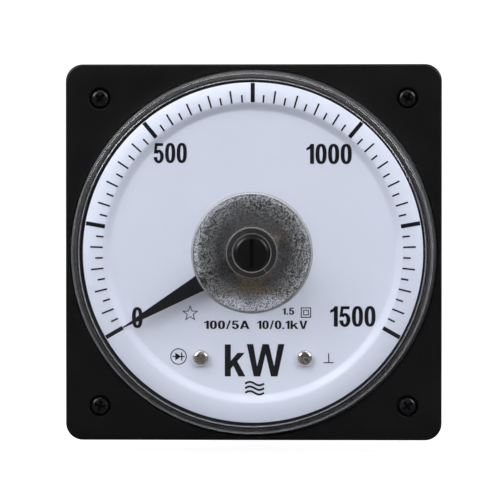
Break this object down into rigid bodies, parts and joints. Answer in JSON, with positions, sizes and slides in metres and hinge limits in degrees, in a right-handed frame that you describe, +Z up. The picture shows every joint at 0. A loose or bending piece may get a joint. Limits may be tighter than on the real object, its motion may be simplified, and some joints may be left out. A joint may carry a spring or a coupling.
{
  "type": "analog dial electric meter",
  "caption": "Square panel-mounted analog kilowatt meter with a clear bowl cover, wide-angle dial, black pointer and rear wiring terminals.",
  "frame": {"origin": "the dial's axis where it meets the panel plane, the back of the square flange", "axes": "the dial faces -Y, +Y runs back into the panel along the studs, +X is right and +Z is up as the dial is read"},
  "size_m": [0.11, 0.1018, 0.11],
  "materials": {
    "black_moulding": "satin",
    "clear_cover": "polished",
    "dial_white": "satin",
    "dial_ink": "satin",
    "dial_screw": "gloss",
    "black_screw": "satin",
    "pointer_black": "satin",
    "adjuster_black": "gloss",
    "zinc_steel": "satin",
    "spring_steel": "satin",
    "brass": "satin",
    "bronze_spring": "satin",
    "copper_wire": "satin",
    "cast_alloy": "matte",
    "former_foil": "satin",
    "soft_iron": "satin",
    "magnet": "matte",
    "ruby": "polished",
    "moulded_hub": "satin",
    "rubber": "matte",
    "board_green": "satin",
    "potting_blue": "gloss",
    "bobbin_tape": "satin",
    "chip_black": "matte",
    "resistor_body": "satin",
    "wire_red": "satin"
  },
  "bodies": {
    "housing": {"front_frame": "black_moulding", "clear_cover": "clear_cover", "cover_gasket": "rubber", "frame_screws": "black_screw", "dial_plate": "dial_white", "dial_screws": "dial_screw", "dial_posts": "brass", "rear_case": "black_moulding", "case_barrel": "black_moulding", "case_back": "black_moulding", "panel_studs": "zinc_steel", "chassis_plate": "zinc_steel", "chassis_screws": "zinc_steel", "movement_frame": "cast_alloy", "movement_screws": "zinc_steel", "pole_ring": "soft_iron", "core_ring": "soft_iron", "magnet": "magnet", "front_bridge": "brass", "bridge_screws": "zinc_steel", "pointer_stops": "rubber", "front_jewel_screw": "brass", "rear_jewel_screw": "brass", "jewel_lock_nut": "brass", "jewels": "ruby", "circuit_board": "board_green", "board_standoffs": "brass", "board_screws": "zinc_steel", "current_transformers": "potting_blue", "transformer_core": "soft_iron", "transformer_bobbin": "bobbin_tape", "filter_capacitors": "potting_blue", "converter_chips": "chip_black", "resistors": "resistor_body", "trimmers": "potting_blue", "movement_leads": "wire_red", "terminal_leads": "copper_wire", "terminal_block": "black_moulding", "block_screws": "zinc_steel", "terminal_plates": "brass", "wire_clamps": "zinc_steel", "terminal_screws": "zinc_steel"},
    "adjuster": {"zero_adjuster": "adjuster_black", "adjuster_clip": "spring_steel", "adjuster_washer": "bronze_spring"},
    "lever": {"zero_lever": "brass"},
    "moving_element": {"staff": "spring_steel", "pointer_hub": "moulded_hub", "pointer": "pointer_black", "balance_arms": "brass", "balance_weights": "brass", "coil_former": "former_foil", "moving_coil": "copper_wire", "coil_clamps": "moulded_hub", "front_hairspring": "bronze_spring", "rear_hairspring": "bronze_spring"}
  },
  "joints": [
    {"name": "zero_lever_turn", "type": "hinge", "parent": "housing", "child": "lever", "pos_m": [0, -0.0226, 0], "axis": [0, 1, 0], "range_deg": [-6, 6]},
    {"name": "zero_adjust", "type": "hinge", "parent": "housing", "child": "adjuster", "pos_m": [0, -0.0285, 0], "axis": [0, 1, 0], "range_deg": [-6, 6]},
    {"name": "pointer_swing", "type": "hinge", "parent": "lever", "child": "moving_element", "pos_m": [0, -0.0182, 0], "axis": [0, 1, 0], "range_deg": [-1.5, 241.5], "stiffness_Nm_per_rad": 0.000024}
  ],
  "couplings": [
    {"joint": "zero_adjust", "follows": "zero_lever_turn", "ratio": 1}
  ]
}
